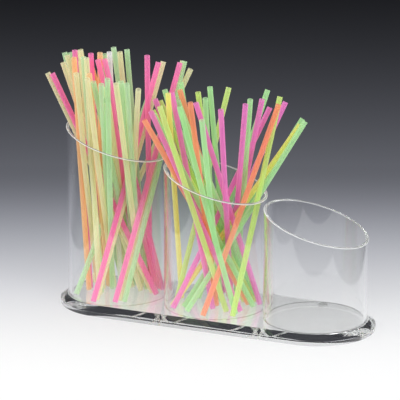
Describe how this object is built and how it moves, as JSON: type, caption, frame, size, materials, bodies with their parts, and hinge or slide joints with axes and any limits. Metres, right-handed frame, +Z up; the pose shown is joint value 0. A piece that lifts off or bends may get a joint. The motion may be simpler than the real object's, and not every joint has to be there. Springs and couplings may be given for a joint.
{
  "type": "straw organiser",
  "caption": "Free-standing clear acrylic straw organiser: round tubes of falling height with slanted mouths on one obround bevelled plate, holding loose straight drinking straws.",
  "frame": {"origin": "on the standing surface, under the middle of the plate", "axes": "+X along the row towards the lowest tube, +Y to the back, +Z up"},
  "size_m": [0.3343, 0.1427, 0.2562],
  "materials": {
    "clear_plate": "polished clear acrylic",
    "clear_tube": "polished clear acrylic",
    "clear_foot": "clear soft bumper",
    "cream_straw": "translucent thin plastic",
    "green_straw": "translucent thin plastic",
    "lime_straw": "translucent thin plastic",
    "magenta_straw": "translucent thin plastic",
    "mint_straw": "translucent thin plastic",
    "orange_straw": "translucent thin plastic",
    "peach_straw": "translucent thin plastic",
    "pink_straw": "translucent thin plastic",
    "white_straw": "translucent thin plastic",
    "yellow_straw": "translucent thin plastic"
  },
  "bodies": {
    "holder": {"base_plate": "clear_plate", "tall_tube": "clear_tube", "middle_tube": "clear_tube", "short_tube": "clear_tube", "foot_front_left": "clear_foot", "foot_front_right": "clear_foot", "foot_back_left": "clear_foot", "foot_back_right": "clear_foot"},
    "tall_bunch": {"tall_cream_straws": "cream_straw", "tall_mint_straws": "mint_straw", "tall_peach_straws": "peach_straw", "tall_pink_straws": "pink_straw"},
    "middle_bunch": {"middle_green_straws": "green_straw", "middle_lime_straws": "lime_straw", "middle_magenta_straws": "magenta_straw", "middle_orange_straws": "orange_straw", "middle_yellow_straws": "yellow_straw"},
    "middle_back_lime_straw": {"middle_back_lime_straw": "lime_straw"},
    "middle_front_lime_straw": {"middle_front_lime_straw": "lime_straw"},
    "middle_front_orange_straw": {"middle_front_orange_straw": "orange_straw"},
    "middle_left_magenta_straw": {"middle_left_magenta_straw": "magenta_straw"},
    "middle_left_yellow_straw": {"middle_left_yellow_straw": "yellow_straw"},
    "middle_right_green_straw": {"middle_right_green_straw": "green_straw"},
    "middle_upright_green_straw": {"middle_upright_green_straw": "green_straw"},
    "tall_left_pink_straw": {"tall_left_pink_straw": "pink_straw"},
    "tall_right_cream_straw": {"tall_right_cream_straw": "cream_straw"},
    "tall_upright_pink_straw": {"tall_upright_pink_straw": "pink_straw"},
    "tall_white_straw": {"tall_white_straw": "white_straw"}
  },
  "joints": [
    {"name": "tall_bunch_lift", "type": "slide", "parent": "holder", "child": "tall_bunch", "axis": [0, 0, 1], "range_m": [0, 0.27]},
    {"name": "middle_bunch_lift", "type": "slide", "parent": "holder", "child": "middle_bunch", "axis": [0, 0, 1], "range_m": [0, 0.27]},
    {"name": "middle_back_lime_straw_draw", "type": "slide", "parent": "middle_bunch", "child": "middle_back_lime_straw", "axis": [0.1598, 0.2303, 0.9599], "range_m": [0, 0.223]},
    {"name": "middle_front_lime_straw_draw", "type": "slide", "parent": "middle_bunch", "child": "middle_front_lime_straw", "axis": [0.1093, 0.2804, 0.9536], "range_m": [0, 0.223]},
    {"name": "middle_front_orange_straw_draw", "type": "slide", "parent": "middle_bunch", "child": "middle_front_orange_straw", "axis": [0.2391, 0.2909, 0.9264], "range_m": [0, 0.223]},
    {"name": "middle_left_magenta_straw_draw", "type": "slide", "parent": "middle_bunch", "child": "middle_left_magenta_straw", "axis": [0.3369, 0.3044, 0.891], "range_m": [0, 0.223]},
    {"name": "middle_left_yellow_straw_draw", "type": "slide", "parent": "middle_bunch", "child": "middle_left_yellow_straw", "axis": [0.0082, -0.1546, 0.9879], "range_m": [0, 0.223]},
    {"name": "middle_right_green_straw_draw", "type": "slide", "parent": "middle_bunch", "child": "middle_right_green_straw", "axis": [0.4315, 0.3221, 0.8427], "range_m": [0, 0.223]},
    {"name": "middle_upright_green_straw_draw", "type": "slide", "parent": "middle_bunch", "child": "middle_upright_green_straw", "axis": [-0.0528, -0.0951, 0.9941], "range_m": [0, 0.223]},
    {"name": "tall_left_pink_straw_draw", "type": "slide", "parent": "tall_bunch", "child": "tall_left_pink_straw", "axis": [-0.3914, -0.1275, 0.9114], "range_m": [0, 0.25]},
    {"name": "tall_right_cream_straw_draw", "type": "slide", "parent": "tall_bunch", "child": "tall_right_cream_straw", "axis": [0.3965, 0.1259, 0.9094], "range_m": [0, 0.25]},
    {"name": "tall_upright_pink_straw_draw", "type": "slide", "parent": "tall_bunch", "child": "tall_upright_pink_straw", "axis": [0.0366, -0.0954, 0.9948], "range_m": [0, 0.25]},
    {"name": "tall_white_straw_draw", "type": "slide", "parent": "tall_bunch", "child": "tall_white_straw", "axis": [-0.0203, -0.0429, 0.9989], "range_m": [0, 0.25]}
  ]
}
